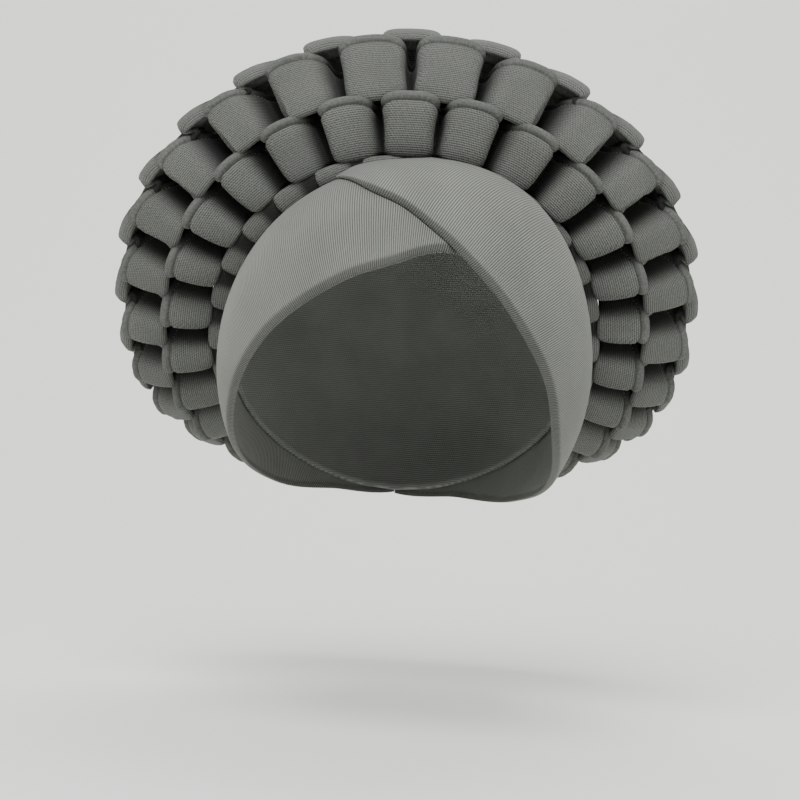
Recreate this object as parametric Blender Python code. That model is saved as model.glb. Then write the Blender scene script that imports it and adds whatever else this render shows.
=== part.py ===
# A pre-tied gele head tie: a crown cap, two crossed forehead bands and a halo of looped strips.
# The frame has +Z up and the wearer faces -Y. The origin is where the top of the head bears on the cap.
# Angles on the head are read from its centre: "around" turns from the top of the head towards +X,
# and "back" is 0 at the middle of the face, 90 over the ears and 180 at the back of the head.
import math

import bmesh
import bpy
from mathutils import Vector

MM = 0.001

# The head that the tie is sewn for, taken as an ellipsoid
HEAD_BREADTH = 150 * MM
HEAD_LENGTH = 188 * MM
CROWN_HEIGHT = 81 * MM

# Cloth walls and the clearances between them
CAP_WALL = 1.6 * MM
BAND_WALL = 2.6 * MM
STRIP_WALL = 3.4 * MM
PLY_GAP = 0.6 * MM
SEW_GAP = 0.8 * MM
STRIP_TO_CAP = 0.05 * MM

# The three ovals that the halo is built on, measured from the head's centre: its rim, and the lines on the
# cap where its front and its back are sewn. "front" and "rear" are how far back the oval lies at the top
# and at the nape, "lean" how late it swings back, and "corner" how square its lower half is.
HALO_OVALS = {
    "rim": {
        "half_width": 120.5 * MM, "level": 35 * MM, "top": 136 * MM, "foot": -41 * MM,
        "front": 12 * MM, "rear": 136 * MM, "lean": 2.0, "corner": 3.1,
    },
    "front_foot": {
        "half_width": 74 * MM, "level": 20 * MM, "top": 84 * MM, "foot": -41 * MM,
        "front": -14 * MM, "rear": 85 * MM, "lean": 1.4, "corner": 2.8,
    },
    "back_foot": {
        "half_width": 62 * MM, "level": 28 * MM, "top": 75 * MM, "foot": -11 * MM,
        "front": 40 * MM, "rear": 94 * MM, "lean": 1.2, "corner": 2.6,
    },
}
HALO_DEPTH = 30 * MM
CAP_UNDERLAP = 24 * MM

# The loops of the braid: each strip rises and dips, and neighbours are half a loop apart
LOOPS_PER_ROW = 26
LOOPS_TURNED = -0.12
LOOP_HEIGHT = 13 * MM
FULL_STRIP_WIDTH = 24 * MM
FULL_LOOP_PITCH = 27 * MM
TOP_LOOP_STRETCH = 0.06
SIDE_LOOP_STRETCH = -0.09
SIDE_LOOP_LEAN = 0.15

# Facets of the smooth pieces
CAP_SECTORS = 32
CAP_RINGS = 7
BAND_STEPS = 28
BAND_COLUMNS = 6
RING_SAMPLES = 720
SHARP_FOLD_DEG = 50

# The sewn lines of the halo run from its front foot, out over the rim, to its back foot. These sections give
# the four middle ones: "out" is a share of the reach from the front foot to the rim, "front" of HALO_DEPTH.
SECTIONS = (
    {"around": 0, "out": (0.08, 0.48, 1.0, 1.06), "front": (0.08, 0.45, 0.39, -0.5)},
    {"around": 45, "out": (0.14, 0.515, 0.975, 1.045), "front": (0.13, 0.475, 0.385, -0.5)},
    {"around": 90, "out": (0.21, 0.57, 1.01, 1.09), "front": (0.20, 0.50, 0.38, -0.5)},
    {"around": 135, "out": (0.24, 0.68, 1.015, 1.095), "front": (0.22, 0.46, 0.32, -0.5)},
    {"around": 180, "out": (0.24, 0.66, 1.0, 1.06), "front": (0.20, 0.44, 0.32, -0.5)},
)

# Half a loop, from its flat crest to the middle of its trough. "along" is a share of the loop from the
# middle of the crest, and "height" a share of LOOP_HEIGHT.
LOOP_FOLDS = (
    {"along": 0.12, "height": 1.00},
    {"along": 0.32, "height": 0.62},
    {"along": 0.42, "height": 0.27},
    {"along": 0.50, "height": 0.00},
)
# Neighbours are sewn together a quarter of a loop from each crest, between the first two folds.
SEWN_ALONG = 0.25
# Where an arched strip is highest, as a share of its width from its first edge
ARCH_AT = 0.3
MOST_FOLD_STRETCH = 1.5
MITRE_LEEWAY_DEG = 6

# The looped strips. "first" and "last" are sewn lines and "phase" is in loops. For each of the two edges,
# "crest" and "dip" are shares of the loop's height above and below the sewn line, and "draw" is the share
# of the dip by which the edge draws back in the troughs, where the strip lies over the cap. "arch" is how
# far the strip bulges between its edges.
STRIPS = (
    {"name": "braid_row_seam", "first": 0, "last": 1, "phase": 0.5,
     "crest": (1.0, 0.8), "dip": (1.0, 0.8), "draw": (0.0, 0.3), "arch": 0},
    {"name": "braid_row_inner", "first": 1, "last": 2, "phase": 0.0,
     "crest": (1.0, 1.0), "dip": (1.0, 1.2), "draw": (0.6, 0.0), "arch": 0},
    {"name": "braid_row_outer", "first": 2, "last": 3, "phase": 0.5,
     "crest": (1.0, 1.0), "dip": (1.2, 1.3), "draw": (0.0, 0.0), "arch": 0},
    {"name": "braid_row_rim", "first": 3, "last": 4, "phase": 0.0,
     "crest": (1.5, 1.2), "dip": (0.3, 0.6), "draw": (0.0, 0.0), "arch": 6 * MM},
    {"name": "braid_row_back_outer", "first": 4, "last": 5, "phase": 0.5,
     "crest": (1.0, 1.0), "dip": (0.3, 0.8), "draw": (0.0, 0.0), "arch": 0},
    {"name": "braid_row_back_inner", "first": 5, "last": 6, "phase": 0.0,
     "crest": (1.0, 1.0), "dip": (0.8, 1.0), "draw": (0.0, 0.6), "arch": 0},
)

# The two bands, from the end that crosses the forehead to the nape. Each row is one fold line: its free edge
# in degrees around and back, and where it ends beside the halo's seam, in degrees around and mm from the seam.
UNDER_BAND = (
    {"edge_around": 62, "edge_back": 40, "seam_around": 34, "seam_gap": 9},
    {"edge_around": 24, "edge_back": 31, "seam_around": 14, "seam_gap": 9},
    {"edge_around": -8, "edge_back": 26, "seam_around": -7, "seam_gap": 9},
    {"edge_around": -38, "edge_back": 26.5, "seam_around": -26, "seam_gap": 9},
    {"edge_around": -62, "edge_back": 32, "seam_around": -45, "seam_gap": 8.5},
    {"edge_around": -81, "edge_back": 41.5, "seam_around": -64, "seam_gap": 8.5},
    {"edge_around": -97, "edge_back": 55, "seam_around": -84, "seam_gap": 8.5},
    {"edge_around": -110, "edge_back": 71, "seam_around": -104, "seam_gap": 8.5},
    {"edge_around": -122, "edge_back": 90, "seam_around": -122, "seam_gap": 8.5},
    {"edge_around": -134, "edge_back": 109, "seam_around": -138, "seam_gap": 8.5},
    {"edge_around": -153, "edge_back": 129, "seam_around": -156, "seam_gap": 8.5},
    {"edge_around": -179.6, "edge_back": 136, "seam_around": -179.4, "seam_gap": 8.5},
)
OVER_BAND = (
    {"edge_around": -26, "edge_back": 78, "seam_around": -28, "seam_gap": 9},
    {"edge_around": -19, "edge_back": 58, "seam_around": -22, "seam_gap": 9},
    {"edge_around": -8, "edge_back": 42, "seam_around": -12, "seam_gap": 9},
    {"edge_around": 11, "edge_back": 32, "seam_around": 2, "seam_gap": 9},
    {"edge_around": 41, "edge_back": 26.5, "seam_around": 23, "seam_gap": 8.5},
    {"edge_around": 76, "edge_back": 28, "seam_around": 47, "seam_gap": 8.5},
    {"edge_around": 101, "edge_back": 41.5, "seam_around": 70, "seam_gap": 8.5},
    {"edge_around": 115, "edge_back": 58, "seam_around": 96, "seam_gap": 8.5},
    {"edge_around": 124, "edge_back": 82, "seam_around": 118, "seam_gap": 8.5},
    {"edge_around": 135, "edge_back": 107, "seam_around": 136, "seam_gap": 8.5},
    {"edge_around": 153, "edge_back": 129, "seam_around": 156, "seam_gap": 8.5},
    {"edge_around": 179.6, "edge_back": 136, "seam_around": 179.4, "seam_gap": 8.5},
)
# How far the over band stays raised above the under band's level, along its length
OVER_BAND_RAISED_SHARE = 0.48
OVER_BAND_SETTLED_SHARE = 0.72
OVER_BAND_SIDE_LIFT = 1.0 * MM
# Where the over band swells beside the halo
OVER_BAND_SWELL = 4.0 * MM
SWELL_AT = 0.41
SWELL_REACH = 0.19

BAND_COLOUR = (0.26, 0.28, 0.27)
BRAID_COLOUR = (0.15, 0.16, 0.155)
CAP_COLOUR = (0.20, 0.21, 0.205)
CLOTH_ROUGHNESS = 0.85

HEAD_CENTRE = Vector((0, 0, -CROWN_HEIGHT))
HEAD_AXES = Vector((HEAD_BREADTH / 2, HEAD_LENGTH / 2, CROWN_HEIGHT))
STRIP_LIFT = CAP_WALL + STRIP_TO_CAP + STRIP_WALL / 2


def clear_scene():
    for obj in list(bpy.data.objects):
        bpy.data.objects.remove(obj)


def smooth(share):
    share = max(0.0, min(1.0, share))
    return share * share * (3 - 2 * share)


def table_value(rows, key_values, at, read):
    """A smooth curve through the rows of a table (Catmull-Rom), read at one key value."""
    last = len(rows) - 1
    at = max(key_values[0], min(key_values[last], at))
    i = 0
    while i < last - 1 and at > key_values[i + 1]:
        i += 1
    t = (at - key_values[i]) / (key_values[i + 1] - key_values[i])
    before, here, there, after = (read(rows[max(0, min(last, k))]) for k in (i - 1, i, i + 1, i + 2))
    return 0.5 * (
        2 * here
        + (there - before) * t
        + (2 * before - 5 * here + 4 * there - after) * t**2
        + (3 * here - before - 3 * there + after) * t**3
    )


def head_direction(around, back):
    """The unit-sphere direction of a place on the head, from angles in radians."""
    return Vector((math.sin(back) * math.sin(around), -math.cos(back), math.sin(back) * math.cos(around)))


def over_head(direction, lift):
    """The place in that direction, lifted off the head by this much."""
    return HEAD_CENTRE + Vector(d * (axis + lift) for d, axis in zip(direction, HEAD_AXES))


def head_share(point, lift):
    """1 on the ellipsoid that lies this far off the head, and less inside it."""
    return Vector((p / (axis + lift)) for p, axis in zip(point - HEAD_CENTRE, HEAD_AXES)).length


def onto_cap(point):
    """The point moved in or out to where a strip lies against the cap."""
    return HEAD_CENTRE + (point - HEAD_CENTRE) / head_share(point, STRIP_LIFT)


def clear_of_cap(point):
    return onto_cap(point) if head_share(point, STRIP_LIFT) < 1 else point


def signed_power(value, power):
    return math.copysign(abs(value) ** power, value)


def leaning(around, power):
    """0 at the top of the head and 1 at the nape."""
    return ((1 - math.cos(around)) / 2) ** power


def oval_point(oval, around):
    """A place on one of the halo's ovals, at an angle around the halo."""
    upper = math.cos(around) > 0
    corner = 1 if upper else 2 / oval["corner"]
    height = oval["top"] - oval["level"] if upper else oval["level"] - oval["foot"]
    return HEAD_CENTRE + Vector((
        oval["half_width"] * signed_power(math.sin(around), corner),
        oval["front"] + (oval["rear"] - oval["front"]) * leaning(around, oval["lean"]),
        oval["level"] + height * signed_power(math.cos(around), corner),
    ))


def rim_tangent(around):
    step = 0.01
    rim = HALO_OVALS["rim"]
    return (oval_point(rim, around + step) - oval_point(rim, around - step)).normalized()


def before_seam(around, distance):
    """The direction of a place on the head this far in front of the halo's front foot."""
    foot = oval_point(HALO_OVALS["front_foot"], around) - HEAD_CENTRE
    direction = Vector(p / axis for p, axis in zip(foot, HEAD_AXES)).normalized()
    back = math.acos(-direction.y) - distance / HEAD_AXES.y
    return head_direction(math.atan2(direction.x, direction.z), back)


def sewn_points(around):
    """The halo's sewn lines at one angle around it, and the tangent there."""
    foot = onto_cap(oval_point(HALO_OVALS["front_foot"], around))
    back_foot = onto_cap(oval_point(HALO_OVALS["back_foot"], around))
    tangent = rim_tangent(around)
    outward = oval_point(HALO_OVALS["rim"], around) - foot
    front = tangent.cross(outward).normalized() * HALO_DEPTH
    turned = abs(math.degrees(math.remainder(around, 2 * math.pi)))
    keys = [row["around"] for row in SECTIONS]
    points = [foot]
    for i in range(4):
        out = table_value(SECTIONS, keys, turned, lambda row: row["out"][i])
        forward = table_value(SECTIONS, keys, turned, lambda row: row["front"][i])
        points.append(foot + outward * out + front * forward)
    points.append((points[-1] + back_foot) / 2)
    points.append(back_foot)
    return points, tangent


def ring_angles():
    """A function from a share of the halo's length to the angle around it."""
    middle = [sewn_points(2 * math.pi * i / RING_SAMPLES)[0][2] for i in range(RING_SAMPLES)]
    lengths = [0.0]
    for i in range(RING_SAMPLES):
        lengths.append(lengths[-1] + (middle[(i + 1) % RING_SAMPLES] - middle[i]).length)

    def angle(share):
        whole = math.floor(share)
        part = share - whole
        turn = 2 * math.pi * part
        part += (TOP_LOOP_STRETCH + SIDE_LOOP_STRETCH) * math.sin(turn) / (2 * math.pi)
        part -= SIDE_LOOP_STRETCH * math.sin(2 * turn) / (4 * math.pi)
        wanted = part * lengths[-1]
        low, high = 0, RING_SAMPLES
        while high - low > 1:
            mid = (low + high) // 2
            low, high = (mid, high) if lengths[mid] <= wanted else (low, mid)
        between = (wanted - lengths[low]) / (lengths[high] - lengths[low])
        return 2 * math.pi * (whole + (low + between) / RING_SAMPLES)

    return angle


def sewn_height():
    """The share of LOOP_HEIGHT at which neighbouring strips are sewn together."""
    before, after = LOOP_FOLDS[:2]
    share = (SEWN_ALONG - before["along"]) / (after["along"] - before["along"])
    return before["height"] + (after["height"] - before["height"]) * share


def loop_folds():
    """All folds of one loop in order, from one trough to just before the next."""
    rising = [{"along": -fold["along"], "height": fold["height"]} for fold in reversed(LOOP_FOLDS)]
    return rising + list(LOOP_FOLDS[:-1])


def side_lean(around, height):
    """At the sides crests lean towards the nape and dips towards the top, in loops."""
    side = max(-1.0, min(1.0, 1.3 * math.sin(around)))
    return SIDE_LOOP_LEAN * side * (height - sewn_height())


def loop_scale(pitch):
    """Loops that stand closer together are lower."""
    return min(1.0, pitch / FULL_LOOP_PITCH)


def sewn_inset(points, line, pitch, steepness):
    """How far a strip stays back from a sewn line, so that it clears the neighbour that turns away from it."""
    if line in (0, len(points) - 1):
        return 0.0
    turning = (points[line] - points[line - 1]).angle(points[line + 1] - points[line])
    before, after = LOOP_FOLDS[:2]
    run = (after["along"] - before["along"]) * pitch
    drop = (before["height"] - after["height"]) * steepness * LOOP_HEIGHT * loop_scale(pitch)
    half_wall = STRIP_WALL / 2 * math.hypot(1, drop / run)
    return SEW_GAP / 2 + half_wall * math.tan(turning / 2 + math.radians(MITRE_LEEWAY_DEG))


def strip_edges(strip, angle):
    """The middle of a looped strip's wall along its two edges, and the directions across and out of it."""
    edges = {"first": [], "last": []}
    crossings = []
    outwards = []
    step = 0.1 / LOOPS_PER_ROW
    for loop in range(LOOPS_PER_ROW):
        for fold in loop_folds():
            share = (loop + LOOPS_TURNED + strip["phase"] + fold["along"]) / LOOPS_PER_ROW
            share += side_lean(angle(share), fold["height"]) / LOOPS_PER_ROW
            points, tangent = sewn_points(angle(share))
            ahead, _ = sewn_points(angle(share + step))
            behind, _ = sewn_points(angle(share - step))
            span = points[strip["last"]] - points[strip["first"]]
            across = span.normalized()
            outward = tangent.cross(across).normalized()
            narrow = min(1.0, span.length / FULL_STRIP_WIDTH)
            for i, (end, inwards) in enumerate((("first", 1), ("last", -1))):
                line = strip[end]
                pitch = (ahead[line] - behind[line]).length / 0.2
                height = (fold["height"] - sewn_height()) * LOOP_HEIGHT * loop_scale(pitch)
                height *= strip["crest"][i] if height > 0 else strip["dip"][i]
                steepness = max(1.0, strip["crest"][i], strip["dip"][i])
                inset = sewn_inset(points, line, pitch, steepness) + strip["draw"][i] * max(0.0, -height)
                place = points[line] + across * inwards * inset + outward * height * narrow
                edges[end].append(clear_of_cap(place))
            crossings.append(across)
            outwards.append(outward)
    return edges, crossings, outwards


def wall_sides(edge, crossings):
    """The two sides of a wall around the middle of its edge, square to the direction across the strip."""
    sides = []
    for i, (place, across) in enumerate(zip(edge, crossings)):
        square = []
        for step in (place - edge[i - 1], edge[(i + 1) % len(edge)] - place):
            square.append(across.cross(step).normalized())
        bisector = (square[0] + square[1]).normalized()
        stretch = min(MOST_FOLD_STRETCH, 1 / bisector.dot(square[0]))
        offset = bisector * STRIP_WALL / 2 * stretch
        sides.append((place - offset, place + offset))
    return sides


def cloth(name, colour):
    material = bpy.data.materials.new(name)
    material.use_nodes = True
    shader = material.node_tree.nodes["Principled BSDF"]
    shader.inputs["Base Color"].default_value = (*colour, 1)
    shader.inputs["Roughness"].default_value = CLOTH_ROUGHNESS
    return material


def add_mesh(name, build, colour):
    """A named object from a function that fills a bmesh."""
    mesh = bpy.data.meshes.new(name)
    sheet = bmesh.new()
    build(sheet)
    bmesh.ops.recalc_face_normals(sheet, faces=sheet.faces)
    sheet.to_mesh(mesh)
    sheet.free()
    mesh.materials.append(cloth(name + "_cloth", colour))
    obj = bpy.data.objects.new(name, mesh)
    bpy.context.scene.collection.objects.link(obj)
    return obj


def add_wall(name, build, wall, offset, colour):
    """An object whose sheet of faces is given its thickness by a Solidify."""
    obj = add_mesh(name, build, colour)
    obj.data.shade_smooth()
    solidify = obj.modifiers.new("Wall", "SOLIDIFY")
    solidify.thickness = wall
    solidify.offset = offset
    solidify.use_even_offset = True


def fill_grid(sheet, rows, closed):
    """Faces between neighbouring rows of vertices. Closed joins the last row to the first."""
    for i in range(len(rows) if closed else len(rows) - 1):
        here, there = rows[i], rows[(i + 1) % len(rows)]
        for k in range(len(here) - 1):
            sheet.faces.new((here[k], there[k], there[k + 1], here[k + 1]))


def add_strip(strip, angle):
    """A looped strip of padded cloth, running all the way round the halo."""
    def build(sheet):
        edges, crossings, outwards = strip_edges(strip, angle)
        first = wall_sides(edges["first"], crossings)
        last = wall_sides(edges["last"], crossings)
        rows = []
        for (under, over), (far_under, far_over), outward in zip(first, last, outwards):
            places = [under, over, far_over, far_under]
            if strip["arch"]:
                raised = outward * strip["arch"]
                places.insert(2, over.lerp(far_over, ARCH_AT) + raised)
                places.append(under.lerp(far_under, ARCH_AT) + raised)
            verts = [sheet.verts.new(p) for p in places]
            rows.append(verts + verts[:1])
        fill_grid(sheet, rows, closed=True)

    strip_mesh = add_mesh(strip["name"], build, BRAID_COLOUR).data
    strip_mesh.shade_smooth()
    strip_mesh.set_sharp_from_angle(angle=math.radians(SHARP_FOLD_DEG))


def band_point(rows, along, across, lift):
    """A place on a band: along from 0 to 1 is from its crossing end to the nape, across from 0 is its free edge."""
    keys = list(range(len(rows)))
    at = along * (len(rows) - 1)
    read = {key: table_value(rows, keys, at, lambda row: math.radians(row[key])) for key in rows[0]}
    edge = head_direction(read["edge_around"], read["edge_back"])
    upper = before_seam(read["seam_around"], math.degrees(read["seam_gap"]) * MM)
    return over_head(edge.lerp(upper, across).normalized(), lift)


def add_band(name, rows, lift_at):
    """A padded band lying on the cap. Its sheet is the middle of its wall."""
    def build(sheet):
        grid = []
        for i in range(BAND_STEPS + 1):
            along = i / BAND_STEPS
            places = []
            for k in range(BAND_COLUMNS + 1):
                across = k / BAND_COLUMNS
                places.append(band_point(rows, along, across, lift_at(along, across) + BAND_WALL / 2))
            grid.append([sheet.verts.new(p) for p in places])
        fill_grid(sheet, grid, closed=False)

    add_wall(name, build, BAND_WALL, 0, BAND_COLOUR)


def under_band_lift(along, across):
    return CAP_WALL + PLY_GAP


def over_band_lift(along, across):
    """Above the under band where they cross, swelling beside the halo, and settling towards the cap."""
    raised = CAP_WALL + BAND_WALL + 2 * PLY_GAP
    settled = CAP_WALL + PLY_GAP + OVER_BAND_SIDE_LIFT
    spread = OVER_BAND_SETTLED_SHARE - OVER_BAND_RAISED_SHARE
    swell = OVER_BAND_SWELL * smooth(1 - abs(along - SWELL_AT) / SWELL_REACH) * smooth(across)
    return raised + (settled - raised) * smooth((along - OVER_BAND_RAISED_SHARE) / spread) + swell


def add_cap():
    """The crown cap: a bowl closed at the back of the head, whose rim runs under the bands."""
    def build(sheet):
        rings = []
        back_of_head = Vector((0, 1, 0))
        for ring in range(CAP_RINGS):
            verts = []
            for sector in range(CAP_SECTORS):
                rim = before_seam(2 * math.pi * sector / CAP_SECTORS, CAP_UNDERLAP)
                direction = rim.slerp(back_of_head, ring / CAP_RINGS)
                verts.append(sheet.verts.new(over_head(direction, 0)))
            rings.append(verts + verts[:1])
        fill_grid(sheet, rings, closed=False)
        pole = sheet.verts.new(over_head(back_of_head, 0))
        for k in range(CAP_SECTORS):
            sheet.faces.new((rings[-1][k], rings[-1][k + 1], pole))

    add_wall("crown_cap", build, CAP_WALL, 1, CAP_COLOUR)


def main():
    clear_scene()
    add_cap()
    add_band("band_under", UNDER_BAND, under_band_lift)
    add_band("band_over", OVER_BAND, over_band_lift)
    angle = ring_angles()
    for strip in STRIPS:
        add_strip(strip, angle)


main()
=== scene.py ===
import math

import bmesh
import bpy
from mathutils import Matrix, Vector


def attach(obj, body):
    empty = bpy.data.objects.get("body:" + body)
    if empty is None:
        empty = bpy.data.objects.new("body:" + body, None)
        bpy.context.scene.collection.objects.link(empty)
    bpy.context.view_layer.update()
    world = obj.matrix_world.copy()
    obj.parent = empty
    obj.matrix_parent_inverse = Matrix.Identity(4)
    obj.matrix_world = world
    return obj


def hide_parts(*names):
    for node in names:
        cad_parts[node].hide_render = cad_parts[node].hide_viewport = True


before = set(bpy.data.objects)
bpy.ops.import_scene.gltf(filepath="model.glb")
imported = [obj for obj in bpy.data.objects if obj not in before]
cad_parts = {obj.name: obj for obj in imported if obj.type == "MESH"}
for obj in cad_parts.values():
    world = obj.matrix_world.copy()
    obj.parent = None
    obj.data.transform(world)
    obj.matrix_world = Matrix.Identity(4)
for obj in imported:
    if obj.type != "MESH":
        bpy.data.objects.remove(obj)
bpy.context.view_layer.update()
bpy.ops.object.select_all(action="DESELECT")
print("frame loaded")

# Angles on the head are read from its centre: around turns from the top towards +X, back is 0 at the face.
head = {"halfBreadth": 0.075, "halfLength": 0.094, "crownHeight": 0.081}
headCentre = Vector((0, 0, -head["crownHeight"]))
headAxes = (head["halfBreadth"], head["halfLength"], head["crownHeight"])

# The halo's three ovals, measured from the head's centre, and the sewn lines between them
halo = {
    "rim": {"halfWidth": 0.1205, "level": 0.035, "top": 0.136, "foot": -0.041,
            "front": 0.012, "rear": 0.136, "lean": 2.0, "corner": 3.1},
    "frontFoot": {"halfWidth": 0.074, "level": 0.020, "top": 0.084, "foot": -0.041,
                  "front": -0.014, "rear": 0.085, "lean": 1.4, "corner": 2.8},
    "backFoot": {"halfWidth": 0.062, "level": 0.028, "top": 0.075, "foot": -0.011,
                 "front": 0.040, "rear": 0.094, "lean": 1.2, "corner": 2.6},
    "depth": 0.030,
    "capUnderlap": 0.024,
    "directionStep": 0.2,   # radians to either side over which the halo's direction is read
    # where the four sewn lines of the front and the rim lie, by degrees around: shares of the way from the
    # foot to the rim oval, and of the depth
    "sections": (
        {"around": 0, "out": (0.08, 0.48, 1.0, 1.06), "front": (0.08, 0.45, 0.39, -0.5)},
        {"around": 45, "out": (0.14, 0.515, 0.975, 1.045), "front": (0.13, 0.475, 0.385, -0.5)},
        {"around": 90, "out": (0.21, 0.57, 1.01, 1.09), "front": (0.20, 0.50, 0.38, -0.5)},
        {"around": 135, "out": (0.24, 0.68, 1.015, 1.095), "front": (0.22, 0.46, 0.32, -0.5)},
        {"around": 180, "out": (0.24, 0.66, 1.0, 1.06), "front": (0.20, 0.44, 0.32, -0.5)},
    ),
}

# The loops of the braid. The path is half a loop, from the middle of its crest to the middle of its dip.
# There, crest is a share of the flat top's half width, and dip a share of the half gap beyond it.
braid = {
    "loopsPerRow": 26, "turned": -0.12, "height": 0.015, "sewnHeight": 0.82,
    "fullWidth": 0.024, "fullPitch": 0.027, "topStretch": 0.06, "sideStretch": -0.09,
    "wall": 0.0034, "overCap": 0.00335,
    # columns: crest, dip, the height on top of the head, and at the sides on a crest's lower and upper part
    "path": ((0, 0, 1.0, 0.93, 0.93), (0.45, 0, 0.995, 0.985, 0.75), (0.75, 0, 0.97, 1.0, 0.54),
             (0.92, 0, 0.91, 0.97, 0.40), (1.0, 0, 0.78, 0.87, 0.32), (1.02, 0, 0.52, 0.52, 0.25),
             (1.0, 0.12, 0.28, 0.24, 0.18), (1.0, 0.35, 0.10, 0.08, 0.10), (1.0, 0.62, 0.02, 0.02, 0.03),
             (1.0, 1.0, 0, 0, 0)),
    "stepsBetween": 2,
    "pathReach": 0.4,       # how far a loop's path reaches to either side of its middle, about, in loops
    "pitchStep": 0.1,       # how far to either side a loop's pitch is measured, in loops
    "crestHalfLimits": (0.16, 0.43),    # in loops
    "sideFrom": 70,         # degrees around at which the narrow crests of the sides are reached
    "sideGain": 1.3,        # how early the heights of the sides are reached
    "lowerTurn": 4,         # how quickly a crest passes from its upper to its lower heights
    "sideLean": 0.22,       # how far crests lean towards the nape at the sides, in loops
    "crown": 0.0005,        # how far the middle of a crest swells
    # the rolled hem: its roll, the sewn groove beside it, and where it meets the strip's inner face
    "hemRadius": 0.0017, "hemRaised": 0.0001, "hemFromGroove": 0.0038, "hemTuck": 0.0040,
    "grooveDepth": 0.0016, "grooveHalf": 0.0003,
    # how far the edges stay back from the sewn lines
    "hemArch": 0.0018, "foldArch": 0.0013, "dipDraw": 0.0016, "foldDraw": 0.6, "seamInset": 0.0003,
    "insetWidth": 0.020,    # a strip narrower than this stays back less
    "curlReach": 0.006, "curlDepth": 0.0020,    # how a plain fold rolls down at its crest
    "sideUncurl": 0.7,      # how much of that roll the sides lack
    "archAt": 0.3, "archFall": 0.8,     # where the rim strip bulges most, and how it falls off beyond
    "innerArch": 0.45,      # how much of the bulge the strip's inner face has
    # how far a crest's corners spread on top of the head, and over what share of the width
    "hemFlare": 0.0018, "hemFlareReach": 0.5, "foldFlare": 0.0010, "foldFlareReach": 0.35,
}

# Each row lies between two of the halo's sewn lines. Its rises are how much of the crest and of the dip shows
# at its two edges, and its shares are how much of a loop its crest takes up there, on top and at the sides.
strips = (
    {"node": "braid_row_seam", "first": 0, "last": 1, "phase": 0.5, "hem": None, "arch": 0,
     "rises": ((0.6, 0.5), (0.3, 0.2)), "shares": ((0.84, 0.74), (0.84, 0.74))},
    {"node": "braid_row_inner", "first": 1, "last": 2, "phase": 0.0, "hem": "last", "arch": 0,
     "rises": ((0.9, 1), (1.3, 1.2)), "shares": ((0.85, 0.70), (0.77, 0.70))},
    {"node": "braid_row_outer", "first": 2, "last": 3, "phase": 0.5, "hem": "last", "arch": 0,
     "rises": ((-0.1, 1.2), (1.1, 1.3)), "shares": ((0.88, 0.70), (0.76, 0.70))},
    {"node": "braid_row_rim", "first": 3, "last": 4, "phase": 0.0, "hem": None, "arch": 0.0065,
     "rises": ((0.35, 0.3), (0.5, 0.25)), "shares": ((0.68, 0.56), (0.74, 0.62))},
    {"node": "braid_row_back_outer", "first": 4, "last": 5, "phase": 0.5, "hem": "first", "arch": 0,
     "rises": ((1, 0.05), (1, 0.8)), "shares": ((0.78, 0.68), (0.88, 0.70))},
    {"node": "braid_row_back_inner", "first": 5, "last": 6, "phase": 0.0, "hem": None, "arch": 0,
     "rises": ((0.2, 0.8), (1, 1)), "shares": ((0.88, 0.70), (0.88, 0.70))},
)


def catmullRom(before, here, there, after, t):
    return 0.5 * (2 * here + (there - before) * t + (2 * before - 5 * here + 4 * there - after) * t ** 2
                  + (3 * here - before - 3 * there + after) * t ** 3)


def smooth(share):
    share = max(0.0, min(1.0, share))
    return share * share * (3 - 2 * share)


def tableValue(rows, keyValues, at, read):
    last = len(rows) - 1
    at = max(keyValues[0], min(keyValues[last], at))
    i = 0
    while i < last - 1 and at > keyValues[i + 1]:
        i += 1
    t = (at - keyValues[i]) / (keyValues[i + 1] - keyValues[i])
    return catmullRom(*(read(rows[max(0, min(last, k))]) for k in (i - 1, i, i + 1, i + 2)), t)


def headDirection(around, back):
    return Vector((math.sin(back) * math.sin(around), -math.cos(back), math.sin(back) * math.cos(around)))


def overHead(direction, lift):
    return headCentre + Vector(d * (axis + lift) for d, axis in zip(direction, headAxes))


def capShare(point):
    # under 1 inside the cap, 1 on it
    return Vector(p / (axis + braid["overCap"]) for p, axis in zip(point - headCentre, headAxes)).length


def ontoCap(point):
    return headCentre + (point - headCentre) / capShare(point)


def clearOfCap(point):
    return ontoCap(point) if capShare(point) < 1 else point


def signedPower(value, power):
    return math.copysign(abs(value) ** power, value)


def ovalPoint(oval, around):
    upper = math.cos(around) > 0
    corner = 1 if upper else 2 / oval["corner"]
    height = oval["top"] - oval["level"] if upper else oval["level"] - oval["foot"]
    leaning = ((1 - math.cos(around)) / 2) ** oval["lean"]
    return headCentre + Vector((
        oval["halfWidth"] * signedPower(math.sin(around), corner),
        oval["front"] + (oval["rear"] - oval["front"]) * leaning,
        oval["level"] + height * signedPower(math.cos(around), corner),
    ))


def beforeSeam(around, distance):
    foot = ovalPoint(halo["frontFoot"], around) - headCentre
    direction = Vector(p / axis for p, axis in zip(foot, headAxes)).normalized()
    back = math.acos(-direction.y) - distance / headAxes[1]
    return headDirection(math.atan2(direction.x, direction.z), back)


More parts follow.
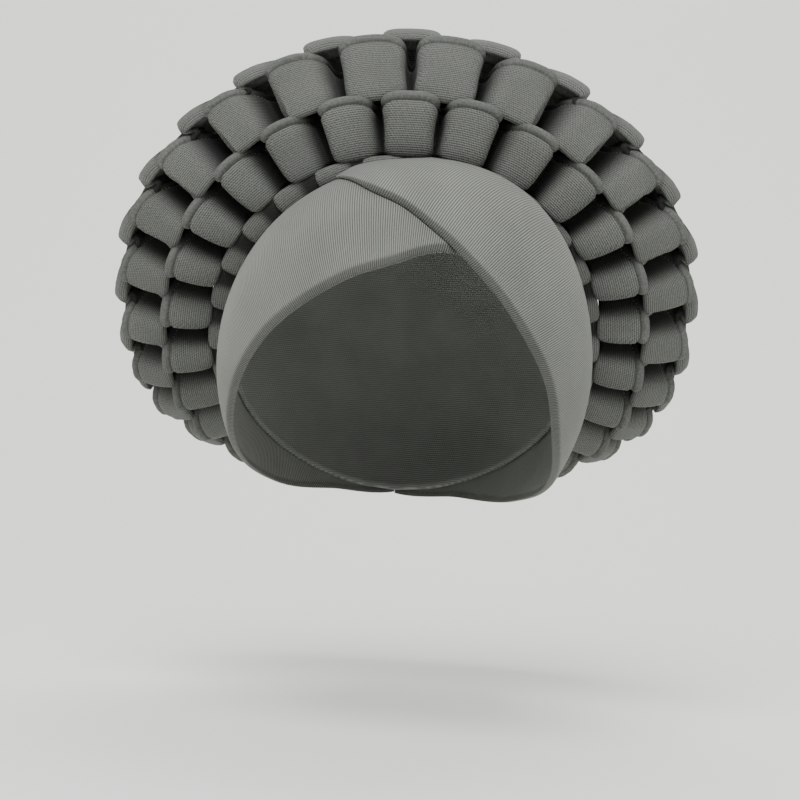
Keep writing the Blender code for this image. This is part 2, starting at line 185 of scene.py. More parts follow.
def sewnPoints(around):
    # the seven sewn lines of the halo at one angle around it, and the direction along them
    foot = ontoCap(ovalPoint(halo["frontFoot"], around))
    backFoot = ontoCap(ovalPoint(halo["backFoot"], around))
    ahead, behind = (ovalPoint(halo["rim"], around + way * halo["directionStep"]) for way in (1, -1))
    tangent = (ahead - behind).normalized()
    outward = ovalPoint(halo["rim"], around) - foot
    front = tangent.cross(outward).normalized() * halo["depth"]
    turned = abs(math.degrees(math.remainder(around, 2 * math.pi)))
    keys = [row["around"] for row in halo["sections"]]
    points = [foot]
    for i in range(len(halo["sections"][0]["out"])):
        out = tableValue(halo["sections"], keys, turned, lambda row: row["out"][i])
        forward = tableValue(halo["sections"], keys, turned, lambda row: row["front"][i])
        points.append(foot + outward * out + front * forward)
    points.append((points[-1] + backFoot) / 2)
    points.append(backFoot)
    return points, tangent


def ringAngles():
    # turns a share of the halo's length into the angle around it
    samples = 720
    middle = [sewnPoints(2 * math.pi * i / samples)[0][2] for i in range(samples)]
    lengths = [0.0]
    for i in range(samples):
        lengths.append(lengths[-1] + (middle[(i + 1) % samples] - middle[i]).length)

    def angleAt(share):
        whole = math.floor(share)
        part = share - whole
        turn = 2 * math.pi * part
        part += (braid["topStretch"] + braid["sideStretch"]) * math.sin(turn) / (2 * math.pi)
        part -= braid["sideStretch"] * math.sin(2 * turn) / (4 * math.pi)
        wanted = part * lengths[-1]
        low, high = 0, samples
        while high - low > 1:
            mid = (low + high) // 2
            low, high = (mid, high) if lengths[mid] <= wanted else (low, mid)
        between = (wanted - lengths[low]) / (lengths[high] - lengths[low])
        return 2 * math.pi * (whole + (low + between) / samples)

    return angleAt


def loopSteps():
    # one loop as rows of the path, from dip to dip, smooth through the half path and its mirror image
    half = list(braid["path"])
    whole = [(-c, -d, *heights) for c, d, *heights in reversed(half)] + half[1:]
    before = (-half[-2][0], -2 + half[-2][1], *half[-2][2:])
    after = (half[-2][0], 2 - half[-2][1], *half[-2][2:])
    around = [before] + whole + [after]
    steps = []
    for i in range(1, len(whole)):
        rows = around[i - 1:i + 3]
        for k in range(braid["stepsBetween"]):
            t = k / braid["stepsBetween"]
            steps.append(tuple(catmullRom(*column, t) for column in zip(*rows)))
    return steps


def crestHalf(shares, around, pitch):
    # half the crest's width at the wall's middle, as a share of the loop
    turned = abs(math.degrees(math.remainder(around, 2 * math.pi)))
    t = min(1.0, turned / braid["sideFrom"])
    share = shares[0] + (shares[1] - shares[0]) * t * t * (3 - 2 * t)
    least, most = braid["crestHalfLimits"]
    return max(least, min(most, (share - braid["wall"] / pitch) / 2))


def stripStations(strip, angleAt):
    # the strip's two edges at each step of its wave, with what shapes the wall between them
    stations = []
    count = braid["loopsPerRow"]
    step = braid["pitchStep"] / count
    for loop in range(count):
        for crest, dip, top, lower, upper in loopSteps():
            middle = (loop + braid["turned"] + strip["phase"]) / count
            near = middle + braid["pathReach"] * (crest + dip) / 2 / count
            side = max(-1.0, min(1.0, braid["sideGain"] * math.sin(angleAt(near))))
            below = smooth(0.5 + braid["lowerTurn"] * (crest + dip) * math.copysign(1, side))
            height = top + (upper + (lower - upper) * below - top) * abs(side)
            rise = (height - braid["sewnHeight"]) * braid["height"]
            ahead, behind = (sewnPoints(angleAt(near + way * step))[0] for way in (1, -1))
            ends = []
            for k, line in enumerate((strip["first"], strip["last"])):
                pitch = (ahead[line] - behind[line]).length / (2 * braid["pitchStep"])
                half = crestHalf(strip["shares"][k], angleAt(near), pitch)
                along = crest * half + dip * (0.5 - half)
                share = middle + along / count
                share += braid["sideLean"] * side * (height - braid["sewnHeight"]) / count
                points, tangent = sewnPoints(angleAt(share))
                span = points[strip["last"]] - points[strip["first"]]
                outward = tangent.cross(span.normalized()).normalized()
                short = min(1.0, pitch / braid["fullPitch"])
                narrow = min(1.0, span.length / braid["fullWidth"])
                up, down = strip["rises"][k]
                ends.append(points[line] + outward * (rise * short) * narrow * (up if rise > 0 else down))
            spread = tangent * crest * (1 - abs(dip)) * (1 - abs(side))
            stations.append({"ends": ends, "crest": abs(crest), "height": height, "outward": outward,
                             "side": abs(side), "spread": spread})
    return stations


def stripProfile(width, hemmed, crest):
    # places around the wall, from the plain fold over the top: distance from that fold, height off the wall's
    # middle, the cloth's own distance for the pattern, and 1 on the turned hem
    radius = min(braid["wall"] / 2, width * 0.45)
    profile = []
    for degrees in range(-90, 91, 30):
        turn = math.radians(degrees)
        cloth = radius - radius * (math.pi / 2 - turn)
        profile.append((radius - radius * math.cos(turn), radius * math.sin(turn), cloth, 0))
    crown = braid["crown"] * crest
    if hemmed:
        groove = width - braid["hemFromGroove"]
        grooveHalf, hemRadius = braid["grooveHalf"], braid["hemRadius"]
        for share in (0.16, 0.36, 0.56, 0.76, 0.92):
            place = radius + (groove - radius) * share
            profile.append((place, radius + crown * math.sin(math.pi * share), place, 0))
        for step, sunk, hem in ((-grooveHalf, 0.5, 0), (0, 1, 1), (grooveHalf, 0.4, 1)):
            profile.append((groove + step, radius - braid["grooveDepth"] * sunk, groove + step, hem))
        centre = width - hemRadius
        for degrees in range(115, -66, -30):
            turn = math.radians(degrees)
            cloth = groove + 2 * grooveHalf + hemRadius * (math.radians(115) - turn)
            height = braid["hemRaised"] + hemRadius * math.sin(turn)
            profile.append((centre + hemRadius * math.cos(turn), height, cloth, 1))
        end = profile[-1][2]
        profile.append((width - braid["hemTuck"], -radius, end + 0.0022, 0))
        profile.append((width * 0.5, -radius, end + width * 0.4, 0))
    else:
        for share in (0.16, 0.36, 0.64, 0.84):
            place = radius + (width - 2 * radius) * share
            profile.append((place, radius + crown * math.sin(math.pi * share), place, 0))
        for degrees in range(90, -91, -30):
            turn = math.radians(degrees)
            profile.append((width - radius + radius * math.cos(turn), radius * math.sin(turn),
                            width - radius + radius * (math.pi / 2 - turn), 0))
        profile.append((width * 0.5, -radius, width * 1.4, 0))
    return profile


def archAcross(share):
    share = max(0.0, min(1.0, share))
    at = braid["archAt"]
    if share < at:
        return math.sin(math.pi / 2 * share / at)
    return math.cos(math.pi / 2 * (share - at) / (1 - at)) ** braid["archFall"]


def stripMesh(strip, angleAt):
    # a closed wall swept along the wave, its pattern coordinates in millimetres, and the line of its groove
    stations = stripStations(strip, angleAt)
    count = len(stations)
    hemmed, flipped = strip["hem"] is not None, strip["hem"] == "first"
    grooveAt = 13   # the groove's bottom among the places of stripProfile
    rows, lengths, grooves = [], [0.0], []
    for i, station in enumerate(stations):
        first, last = station["ends"]
        behind, ahead = stations[i - 1]["ends"], stations[(i + 1) % count]["ends"]
        across = (last - first).normalized()
        normals = [(ahead[k] - behind[k]).cross(across).normalized() for k in (0, 1)]
        if flipped:
            first, last, across, normals = last, first, -across, normals[::-1]
        crest = max(0.0, 1 - station["crest"] ** 4)
        dip = 1 - station["height"]
        whole = (last - first).length
        scale = min(1.0, whole / braid["insetWidth"])
        foldDraw = braid["dipDraw"] * braid["foldDraw"] * dip
        plainInset = (braid["seamInset"] + foldDraw - braid["foldArch"] * crest) * scale
        hemInset = (braid["seamInset"] + braid["dipDraw"] * dip - braid["hemArch"] * crest) * scale
        if not hemmed:
            hemInset = plainInset
        width = whole - plainInset - hemInset
        verts = []
        curl = braid["curlDepth"] * max(0.0, station["height"]) ** 2 * scale * (0 if strip["arch"] else 1)
        curl *= 1 - braid["sideUncurl"] * station["side"]
        reach = min(braid["curlReach"], width * 0.4)
        for place, height, cloth, hem in stripProfile(width, hemmed, station["height"]):
            share = (plainInset + place) / whole
            rolled = max(0.0, 1 - place / reach) ** 2
            if not hemmed:
                rolled += max(0.0, 1 - (width - place) / reach) ** 2
            base = clearOfCap(first + across * (plainInset + place))
            normal = normals[0].lerp(normals[1], max(0.0, min(1.0, share))).normalized()
            bulge = strip["arch"] * archAcross(place / width) * (1.0 if height > 0 else braid["innerArch"])
            flare = braid["foldFlare"] * smooth(1 - place / width / braid["foldFlareReach"])
            if hemmed:
                fromHem = (place / width - (1 - braid["hemFlareReach"])) / braid["hemFlareReach"]
                flare += braid["hemFlare"] * smooth(fromHem)
            spot = base + normal * (height - curl * rolled)
            spot = spot + station["outward"] * bulge + station["spread"] * flare
            # the first mark, how deep the cloth lies in a dip, becomes painted shade in the material: darker
            # deep between crests and on the receding upper parts of the side crests; the second mark is 1 on
            # the turned hem
            verts.append((spot, (cloth + plainInset) * 1000, (max(0.0, dip), hem)))
        if hemmed:
            grooves.append((verts[grooveAt][0], normals[1]))
        rows.append(verts)
    for i in range(count):
        here, there = (sum(stations[k % count]["ends"], Vector()) / 2 for k in (i, i + 1))
        lengths.append(lengths[-1] + (there - here).length * 1000)
    return rows, lengths, grooves


def newPiece(name, mesh):
    piece = bpy.data.objects.new(name, mesh)
    bpy.context.scene.collection.objects.link(piece)
    return piece


def faceOutwards(mesh, centre=None):
    shell = bmesh.new()
    shell.from_mesh(mesh)
    bmesh.ops.recalc_face_normals(shell, faces=shell.faces)
    # an open shell has no outside of its own, so its faces turn away from the centre
    if centre is not None and sum((f.calc_center_median() - centre).dot(f.normal) for f in shell.faces) < 0:
        bmesh.ops.reverse_faces(shell, faces=shell.faces)
    shell.to_mesh(mesh)
    shell.free()
    mesh.shade_smooth()


def meshFromRows(name, rows, lengths, closed):
    # faces between neighbouring rows of (place, cloth distance, (painted fold shade, hem)), each row a closed
    # ring
    size = len(rows[0])
    verts = [vert[0] for row in rows for vert in row]
    faces, coords, marks = [], [], []
    for i in range(len(rows) if closed else len(rows) - 1):
        j = (i + 1) % len(rows)
        for k in range(size):
            m = (k + 1) % size
            faces.append((i * size + k, j * size + k, j * size + m, i * size + m))
            far = rows[i][m][1] if m else rows[i][k][1] + 1.0
            farNext = rows[j][m][1] if m else rows[j][k][1] + 1.0
            coords += [(lengths[i], rows[i][k][1]), (lengths[i + 1], rows[j][k][1]),
                       (lengths[i + 1], farNext), (lengths[i], far)]
            marks += [rows[i][k][2], rows[j][k][2], rows[j][m][2], rows[i][m][2]]
    if not closed:
        for i, turned in ((0, False), (len(rows) - 1, True)):
            ring = [i * size + k for k in range(size)]
            faces.append(tuple(reversed(ring)) if turned else tuple(ring))
            coords += [(lengths[i], 0.0)] * size
            marks += [(0.0, 0.0)] * size
    mesh = bpy.data.meshes.new(name)
    mesh.from_pydata(verts, [], faces)
    for layerName, values in (("clothMm", coords), ("foldAndHem", marks)):
        layer = mesh.uv_layers.new(name=layerName)
        for corner, value in zip(layer.data, values):
            corner.uv = value
    faceOutwards(mesh)
    return newPiece(name, mesh)


def linearColour(hexText):
    channels = [int(hexText[i:i + 2], 16) / 255 for i in (1, 3, 5)]
    return tuple(c / 12.92 if c <= 0.04045 else ((c + 0.055) / 1.055) ** 2.4 for c in channels) + (1.0,)


def addNode(tree, kind, settings=None, inputs=None):
    # an input is a value, or the socket that it is linked to
    node = tree.nodes.new(kind)
    for key, value in (settings or {}).items():
        setattr(node, key, value)
    for key, value in (inputs or {}).items():
        if isinstance(value, bpy.types.NodeSocket):
            tree.links.new(value, node.inputs[key])
        else:
            node.inputs[key].default_value = value
    return node


def ribKnit(look):
    # foam-backed ribbed polyester knit: matt, with fine cords that catch the light and a soft pile of fibre
    material = bpy.data.materials.new(look["name"])
    material.use_nodes = True
    tree = material.node_tree
    tree.nodes.clear()
    output = addNode(tree, "ShaderNodeOutputMaterial")
    cloth = addNode(tree, "ShaderNodeUVMap", {"uv_map": "clothMm"})
    marks = addNode(tree, "ShaderNodeUVMap", {"uv_map": "foldAndHem"})
    mark = addNode(tree, "ShaderNodeSeparateXYZ", inputs={"Vector": marks.outputs["UV"]})
    turned = addNode(tree, "ShaderNodeMapping", inputs={"Vector": cloth.outputs["UV"],
                                                        "Rotation": (0, 0, math.radians(look["ribTurn"]))})
    # coordinates are millimetres of cloth, so these patterns are about 20, 0.9 and 29 mm large
    drift = addNode(tree, "ShaderNodeTexNoise", {"noise_dimensions": "2D"},
                    {"Vector": turned.outputs["Vector"], "Scale": 0.05, "Detail": 2.0})
    place = addNode(tree, "ShaderNodeSeparateXYZ", inputs={"Vector": turned.outputs["Vector"]})
    wander = addNode(tree, "ShaderNodeMath", {"operation": "MULTIPLY_ADD"},
                     {0: drift.outputs["Fac"], 1: look["ribDrift"], 2: place.outputs["Y"]})
    ribPhase = addNode(tree, "ShaderNodeMath", {"operation": "MULTIPLY"},
                       {0: wander.outputs["Value"], 1: 2 * math.pi / look["ribSpacing"]})
    rib = addNode(tree, "ShaderNodeMath", {"operation": "SINE"}, {0: ribPhase.outputs["Value"]})
    ribRow = addNode(tree, "ShaderNodeMath", {"operation": "DIVIDE"},
                     {0: wander.outputs["Value"], 1: look["ribSpacing"]})
    ribNumber = addNode(tree, "ShaderNodeMath", {"operation": "ROUND"}, {0: ribRow.outputs["Value"]})
    # the knit's stitches break each rib, every second rib half a stitch on
    stitchAt = addNode(tree, "ShaderNodeMath", {"operation": "MULTIPLY"},
                       {0: place.outputs["X"], 1: 2 * math.pi / look["stitchLength"]})
    stitchPhase = addNode(tree, "ShaderNodeMath", {"operation": "MULTIPLY_ADD"},
                          {0: ribNumber.outputs["Value"], 1: 2.4, 2: stitchAt.outputs["Value"]})
    stitch = addNode(tree, "ShaderNodeMath", {"operation": "SINE"}, {0: stitchPhase.outputs["Value"]})
    speckle = addNode(tree, "ShaderNodeTexNoise", {"noise_dimensions": "2D"},
                      {"Vector": turned.outputs["Vector"], "Scale": 1.1, "Detail": 2.0, "Roughness": 0.6})
    patches = addNode(tree, "ShaderNodeTexNoise", {"noise_dimensions": "2D"},
                      {"Vector": turned.outputs["Vector"], "Scale": 0.035, "Detail": 3.0})
    # the ribs and their breaks lie flat on the turned hem
    depth = addNode(tree, "ShaderNodeMapRange",
                    inputs={"Value": mark.outputs["Y"], "To Min": look["ribDepth"], "To Max": 0.08})
    raised = addNode(tree, "ShaderNodeMath", {"operation": "MULTIPLY_ADD"},
                     {0: rib.outputs["Value"], 1: depth.outputs["Result"], 2: 0.5})
    breaks = addNode(tree, "ShaderNodeMapRange",
                     inputs={"Value": mark.outputs["Y"], "To Min": look["stitchShare"], "To Max": 0.03})
    broken = addNode(tree, "ShaderNodeMath", {"operation": "MULTIPLY_ADD"},
                     {0: stitch.outputs["Value"], 1: breaks.outputs["Result"], 2: raised.outputs["Value"]})
    rough = addNode(tree, "ShaderNodeMath", {"operation": "MULTIPLY_ADD"},
                    {0: speckle.outputs["Fac"], 1: look["speckle"], 2: broken.outputs["Value"]})
    usual = look["speckle"] * 0.5
    level = addNode(tree, "ShaderNodeMapRange", inputs={
        "Value": rough.outputs["Value"], "From Min": usual - 0.1, "From Max": usual + 1.1})
    # painted light and shade: the ridge colour stands for light caught on the cords and the groove colour for
    # shade between them, while the speckle mixed in is the yarn's own random tone
    yarnToneAndRibShade = addNode(tree, "ShaderNodeMix", {"data_type": "RGBA"},
                   {"Factor": level.outputs["Result"], 6: linearColour(look["groove"]),
                    7: linearColour(look["ridge"])})
    shade = addNode(tree, "ShaderNodeMapRange",
                    inputs={"Value": patches.outputs["Fac"], "From Min": 0.3, "From Max": 0.7,
                            "To Min": 0.90, "To Max": 1.06})
    # painted shade: the colour is darkened by the first mark, standing in for the shade deep in the braid's
    # dips and under a band's rolled edge
    paintedShadeInFolds = addNode(tree, "ShaderNodeMapRange", {"interpolation_type": "SMOOTHSTEP"},
                       {"Value": mark.outputs["X"], "From Min": 0.14, "From Max": 0.56,
                        "To Min": 1.0, "To Max": look["foldPaintedShade"]})
    patchToneAndPaintedShade = addNode(tree, "ShaderNodeMath", {"operation": "MULTIPLY"},
                  {0: shade.outputs["Result"], 1: paintedShadeInFolds.outputs["Result"]})
    tint = addNode(tree, "ShaderNodeMix", {"data_type": "RGBA", "blend_type": "MULTIPLY"},
                   {"Factor": 1.0, 6: yarnToneAndRibShade.outputs[2], 7: patchToneAndPaintedShade.outputs["Value"]})
    bump = addNode(tree, "ShaderNodeBump",
                   inputs={"Height": rough.outputs["Value"], "Strength": look["bump"], "Distance": 0.0004})
    matt = addNode(tree, "ShaderNodeMapRange",
                   inputs={"Value": rough.outputs["Value"], "To Min": 0.95, "To Max": 0.72})
    surface = addNode(tree, "ShaderNodeBsdfPrincipled", inputs={
        "Base Color": tint.outputs[2], "Roughness": matt.outputs["Result"], "Normal": bump.outputs["Normal"],
        "Specular IOR Level": 0.25, "Sheen Weight": look["sheen"], "Sheen Roughness": 0.45,
        "Sheen Tint": linearColour("#d8dbd4")})
    tree.links.new(surface.outputs["BSDF"], output.inputs["Surface"])
    return material


# rib spacing, drift and stitch length are in millimetres, and the ribs' turn in degrees
# the last setting of each knit is painted shade: the share of its colour kept deepest in a fold or under a
# rolled edge
underKnit = ribKnit({"name": "ribbed polyester knit, stretched over the brow",
                     "ridge": "#80827d", "groove": "#383a37", "ribSpacing": 1.0, "ribTurn": 4,
                     "ribDrift": 0.3, "ribDepth": 0.5, "stitchLength": 0.9, "stitchShare": 0.08,
                     "speckle": 0.30, "bump": 0.5, "sheen": 0.28, "foldPaintedShade": 0.5})
overKnit = ribKnit({"name": "ribbed polyester knit, stretched on the cross",
                    "ridge": "#80837d", "groove": "#363835", "ribSpacing": 0.9, "ribTurn": -22,
                    "ribDrift": 0.3, "ribDepth": 0.5, "stitchLength": 0.9, "stitchShare": 0.08,
                    "speckle": 0.30, "bump": 0.5, "sheen": 0.28, "foldPaintedShade": 0.5})
braidKnit = ribKnit({"name": "ribbed polyester knit, padded", "ridge": "#686a66", "groove": "#313330",
                     "ribSpacing": 0.95, "ribTurn": 0, "ribDrift": 0.6, "ribDepth": 0.42,
                     "stitchLength": 1.05, "stitchShare": 0.2, "speckle": 0.9, "bump": 0.45, "sheen": 0.10,
                     "foldPaintedShade": 0.08})
capKnit = ribKnit({"name": "cotton jersey lining", "ridge": "#6f726d", "groove": "#50534f",
                   "ribSpacing": 1.1, "ribTurn": 0, "ribDrift": 1.0, "ribDepth": 0.5, "stitchLength": 1.1,
                   "stitchShare": 0.3, "speckle": 0.4, "bump": 0.3, "sheen": 0.15, "foldPaintedShade": 1.0})
print("materials made")


def finishPiece(piece, node, material):
    piece.data.materials.append(material)
    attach(piece, "root")
    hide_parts(node)


angleAt = ringAngles()
hemLines = {}
for strip in strips:
    rows, lengths, grooves = stripMesh(strip, angleAt)
    piece = meshFromRows(strip["node"] + "_cloth", rows, lengths, closed=True)
    finishPiece(piece, strip["node"], braidKnit)
    hemLines[strip["node"]] = grooves
print("halo strips made")


stitching = {"spacing": 0.0017, "length": 0.0012, "thickness": 0.0006, "raised": 0.0007,
             "rows": ("braid_row_inner", "braid_row_outer")}


def stitchShape():
    bpy.ops.object.select_all(action="DESELECT")
    bpy.ops.mesh.primitive_uv_sphere_add(segments=6, ring_count=4, radius=stitching["thickness"] / 2)
    stitch = bpy.context.object
    bpy.ops.object.mode_set(mode="EDIT")
    bpy.ops.mesh.select_all(action="SELECT")
    bpy.ops.transform.resize(value=(stitching["length"] / stitching["thickness"], 1, 1))
    bpy.ops.object.mode_set(mode="OBJECT")
    verts = [v.co.copy() for v in stitch.data.vertices]
    faces = [tuple(p.vertices) for p in stitch.data.polygons]
    bpy.data.objects.remove(stitch)
    return verts, faces


def stitchRow(name, line, shape):
    # copies of one stitch, set along the groove beside the hem
    verts, faces = [], []
    walked, wanted = 0.0, 0.0
    for i, (place, normal) in enumerate(line):
        there = line[(i + 1) % len(line)][0]
        step = there - place
        if step.length < 1e-7:
            continue
        while wanted < walked + step.length:
            centre = place + step * ((wanted - walked) / step.length) + normal * stitching["raised"]
            along = step.normalized()
            side = normal.cross(along).normalized()
            turn = Matrix((along, side, along.cross(side))).transposed()
            start = len(verts)
            verts += [turn @ v + centre for v in shape[0]]
            faces += [tuple(start + k for k in face) for face in shape[1]]
            wanted += stitching["spacing"]
        walked += step.length
    mesh = bpy.data.meshes.new(name)
    mesh.from_pydata(verts, [], faces)
    mesh.shade_smooth()
    return newPiece(name, mesh)


def sewingThread():
    # spun polyester thread: dark grey, a little glossier than the knit, twisted every 0.4 mm
    material = bpy.data.materials.new("spun polyester sewing thread")
    material.use_nodes = True
    tree = material.node_tree
    surface = tree.nodes["Principled BSDF"]
    place = addNode(tree, "ShaderNodeTexCoord")
    twist = addNode(tree, "ShaderNodeTexNoise",
                    inputs={"Vector": place.outputs["Object"], "Scale": 2500.0, "Detail": 1.0})
    shade = addNode(tree, "ShaderNodeMix", {"data_type": "RGBA"},
                    {"Factor": twist.outputs["Fac"], 6: linearColour("#2a2c29"), 7: linearColour("#555852")})
    tree.links.new(shade.outputs[2], surface.inputs["Base Color"])
    surface.inputs["Roughness"].default_value = 0.6
    surface.inputs["Specular IOR Level"].default_value = 0.3
    return material


thread = sewingThread()
oneStitch = stitchShape()
for node in stitching["rows"]:
    piece = stitchRow(node + "_topstitch", hemLines[node], oneStitch)
    piece.data.materials.append(thread)
    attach(piece, "root")
print("topstitching made")


bands = {
    "wall": 0.0026, "plyGap": 0.0006, "capWall": 0.0016, "steps": 200, "columns": 18, "innerColumns": 6,
    "edgeReach": 0.0052,                    # how wide the free edge rolls
    "tipWall": 0.0009, "tipShare": 0.12,    # the wall's start at the band's tip
    # the band on top lies over the other one, swells where they cross and settles onto the cap at the side
    "raisedShare": 0.48, "settledShare": 0.72, "sideLift": 0.0010,
    "swell": 0.0040, "swellAt": 0.41, "swellReach": 0.19,
    "middleLift": 0.004,                    # where its length is measured, over the head
    # each row is a fold line: its free edge in degrees around and back, where it ends beside the halo's seam
    # in degrees around, and how far it stays from the seam in millimetres
    "under": ((62, 42, 34, 9), (24, 34.5, 14, 9), (-8, 27, -7, 9), (-38, 28, -26, 9), (-62, 33.5, -45, 8.5),
              (-81, 43.5, -64, 8.5), (-97, 56.5, -84, 8.5), (-110, 71, -104, 8.5), (-122, 90, -122, 8.5),
              (-134, 109, -138, 8.5), (-153, 129, -156, 8.5), (-179.97, 136, -179.97, 8.5)),
    "over": ((-24, 75, -26, 9), (-16, 56.5, -20, 9), (-5, 46.5, -12, 9), (13, 36.8, 2, 9), (41, 32, 23, 8.5),
             (73, 35.5, 47, 8.5), (97, 46.5, 70, 8.5), (113, 59.5, 96, 8.5), (124, 82, 118, 8.5),
             (135, 107, 136, 8.5), (153, 129, 156, 8.5), (179.97, 136, 179.97, 8.5)),
}


def underLift(along, across):
    return bands["capWall"] + bands["plyGap"]


def overLift(along, across):
    raised = bands["capWall"] + bands["wall"] + 2 * bands["plyGap"]
    settled = bands["capWall"] + bands["plyGap"] + bands["sideLift"]
    lowered = smooth((along - bands["raisedShare"]) / (bands["settledShare"] - bands["raisedShare"]))
    swell = smooth(1 - abs(along - bands["swellAt"]) / bands["swellReach"]) * smooth(across)
    return raised + (settled - raised) * lowered + bands["swell"] * swell


def bandMesh(name, table, liftAt):
    # a wall that lies round the head, with its free edge rolled and its other edge under the halo's seam
    rows, lengths, middles = [], [0.0], []
    keys = list(range(len(table)))
    for i in range(bands["steps"] + 1):
        along = i / bands["steps"]
        wall = bands["tipWall"] + (bands["wall"] - bands["tipWall"]) * smooth(along / bands["tipShare"])
        half = wall / 2
        at = along * (len(table) - 1)
        around, back, seam, apart = (tableValue(table, keys, at, lambda row: row[k]) for k in range(4))
        edge = headDirection(math.radians(around), math.radians(back))
        upper = beforeSeam(math.radians(seam), apart / 1000)
        ends = [overHead(d, liftAt(along, 0.5)) for d in (edge, upper)]
        width = (ends[1] - ends[0]).length
        profile = []
        reach = bands["edgeReach"] * wall / bands["wall"]
        for degrees in range(0, 90, 10):    # the free edge, rolled over towards the head
            turn = math.radians(degrees)
            place = reach * (1 - math.cos(turn))
            height = wall * math.sin(turn)
            profile.append((place, height, place - (wall - height)))
        for k in range(bands["columns"] + 1):
            place = reach + (width - reach - half * 1.2) * k / bands["columns"]
            profile.append((place, wall, place))
        for degrees in (60, 25, -10, -45, -80):
            turn = math.radians(degrees)
            profile.append((width - half + half * math.cos(turn), half + half * math.sin(turn),
                            width - half + half * (math.pi / 2 - turn)))
        for k in range(1, bands["innerColumns"] + 1):
            place = width * (1 - k / (bands["innerColumns"] + 1))
            profile.append((place, 0.0, width + 0.004 + (width - place)))
        row = []
        for place, height, cloth in profile:
            direction = edge.lerp(upper, place / width).normalized()
            # the first mark, how far into the rolled free edge a place lies, becomes painted shade in the
            # material, darker where the edge turns under away from the light
            rolled = max(0.0, 1 - place / reach)
            lift = liftAt(along, place / width) + height
            row.append((overHead(direction, lift), cloth * 1000, (rolled, 0.0)))
        rows.append(row)
        middles.append(overHead(edge.lerp(upper, 0.5).normalized(), bands["middleLift"]))
        if i:
            lengths.append(lengths[-1] + (middles[-1] - middles[-2]).length * 1000)
    return meshFromRows(name, rows, lengths, closed=False)


for node, table, liftAt, knit in (("band_under", bands["under"], underLift, underKnit),
                                  ("band_over", bands["over"], overLift, overKnit)):
    piece = bandMesh(node + "_cloth", table, liftAt)
    # the ribs of a band run from its free edge towards the halo, so its pattern is read the other way round
    for corner in piece.data.uv_layers["clothMm"].data:
        corner.uv = (corner.uv[1], corner.uv[0])
    finishPiece(piece, node, knit)
print("bands made")


cap = {"wall": 0.0016, "lift": 0.0001, "sectors": 96, "rings": 24,
       "patternMm": (90, 95)}   # half the cap's breadth and height, for the knit


def capMesh():
    sectors, rings = cap["sectors"], cap["rings"]
    backOfHead = Vector((0, 1, 0))
    verts, coords, faces = [], [], []
    for ring in range(rings):
        for sector in range(sectors):
            rim = beforeSeam(2 * math.pi * sector / sectors, halo["capUnderlap"])
            direction = rim.slerp(backOfHead, ring / rings)
            verts.append(overHead(direction, cap["lift"]))
            coords.append((direction.x * cap["patternMm"][0], direction.z * cap["patternMm"][1]))
    verts.append(overHead(backOfHead, cap["lift"]))
    coords.append((0.0, 0.0))
    for ring in range(rings - 1):
        for k in range(sectors):
            m = (k + 1) % sectors
            here, there = ring * sectors, (ring + 1) * sectors
            faces.append((here + k, there + k, there + m, here + m))
    last = (rings - 1) * sectors
    faces += [(last + k, rings * sectors, last + (k + 1) % sectors) for k in range(sectors)]
    mesh = bpy.data.meshes.new("crown_cap_cloth")
    mesh.from_pydata(verts, [], faces)
    layer = mesh.uv_layers.new(name="clothMm")
    for loop, corner in zip(mesh.loops, layer.data):
        corner.uv = coords[loop.vertex_index]
    faceOutwards(mesh, headCentre)
    piece = newPiece("crown_cap_cloth", mesh)
    bpy.context.view_layer.objects.active = piece
    wall = piece.modifiers.new("wall", "SOLIDIFY")
    wall.thickness, wall.offset = cap["wall"], 1.0
    bpy.ops.object.modifier_apply(modifier="wall")
    return piece, sum(p.area for p in mesh.polygons)


piece, area = capMesh()
print("cap cloth, both sides and rim, m2:", round(area, 4))
finishPiece(piece, "crown_cap", capKnit)
print("cap made")


studio = {"floorLevel": -0.24, "wall": 0.9, "bend": 0.5, "bendSteps": 16,
          "halfWidth": 2.5, "front": -2.2, "height": 2.6, "paint": "#f3f4f0",
          "sky": "#f0f2f0", "skyStrength": 0.36}


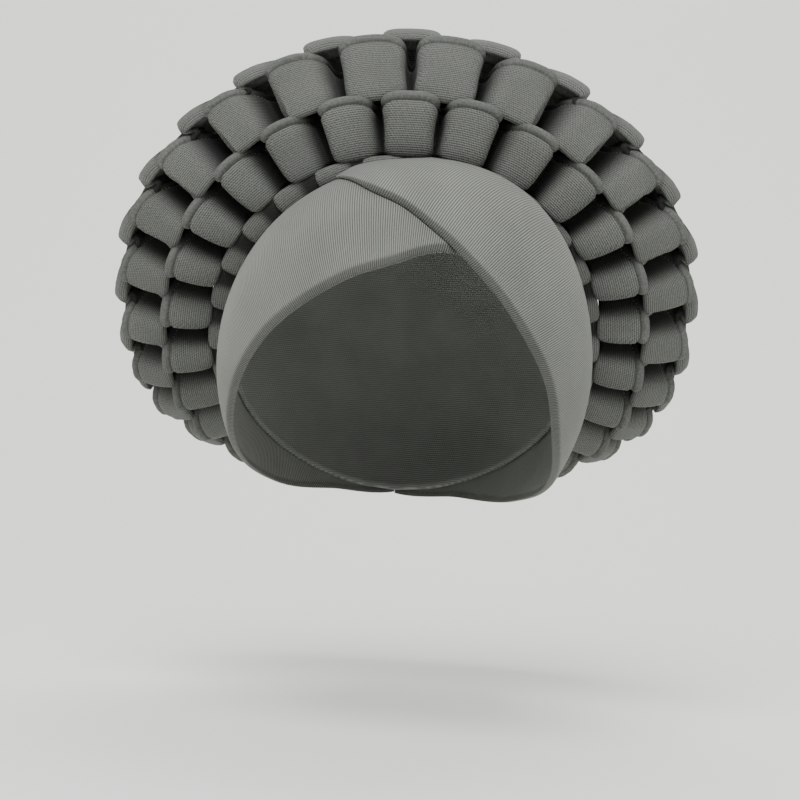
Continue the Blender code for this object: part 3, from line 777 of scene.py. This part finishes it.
def backdrop():
    # floor and wall in one, matt pale paint so that it takes soft shadows and no gloss
    line = [(studio["front"], studio["floorLevel"])]
    for k in range(studio["bendSteps"] + 1):
        turn = math.pi / 2 * k / studio["bendSteps"]
        line.append((studio["wall"] - studio["bend"] + studio["bend"] * math.sin(turn),
                     studio["floorLevel"] + studio["bend"] - studio["bend"] * math.cos(turn)))
    line.append((studio["wall"], studio["height"]))
    verts = [(x, y, z) for y, z in line for x in (-studio["halfWidth"], studio["halfWidth"])]
    faces = [(2 * i, 2 * i + 1, 2 * i + 3, 2 * i + 2) for i in range(len(line) - 1)]
    mesh = bpy.data.meshes.new("backdrop")
    mesh.from_pydata(verts, [], faces)
    mesh.shade_smooth()
    piece = newPiece("backdrop", mesh)
    paint = bpy.data.materials.new("matt emulsion paint")
    paint.use_nodes = True
    surface = paint.node_tree.nodes["Principled BSDF"]
    surface.inputs["Base Color"].default_value = linearColour(studio["paint"])
    surface.inputs["Roughness"].default_value = 0.95
    mesh.materials.append(paint)


def softLight(name, place, size, power):
    light = bpy.data.lights.new(name, "AREA")
    light.size, light.energy = size, power
    lamp = newPiece(name, light)
    lamp.location = place
    lamp.rotation_euler = (headCentre - Vector(place)).to_track_quat("-Z", "Y").to_euler()


shot = {"lens": 83.16, "sensorWidth": 36, "place": (0, -0.800, -0.096), "roll": 3.5}


def photoCamera():
    # level, looking straight at the object, and rolled a little as the photo is
    camera = newPiece("photoCamera", bpy.data.cameras.new("photoCamera"))
    camera.data.lens, camera.data.sensor_width = shot["lens"], shot["sensorWidth"]
    camera.data.clip_start = 0.05
    camera.location = shot["place"]
    level = Matrix.Rotation(math.radians(90), 3, "X")
    camera.rotation_euler = (level @ Matrix.Rotation(math.radians(shot["roll"]), 3, "Z")).to_euler()
    bpy.context.scene.camera = camera


backdrop()
softLight("key", (-0.25, -1.3, 1.4), 1.2, 60)
softLight("fill", (0.9, -1.5, 0.2), 1.2, 6)
softLight("rim", (0.2, 0.55, 1.2), 0.9, 8)
world = bpy.data.worlds.new("studio")
bpy.context.scene.world = world
world.use_nodes = True
sky = world.node_tree.nodes["Background"]
sky.inputs["Color"].default_value = linearColour(studio["sky"])
sky.inputs["Strength"].default_value = studio["skyStrength"]
photoCamera()
print("studio set")
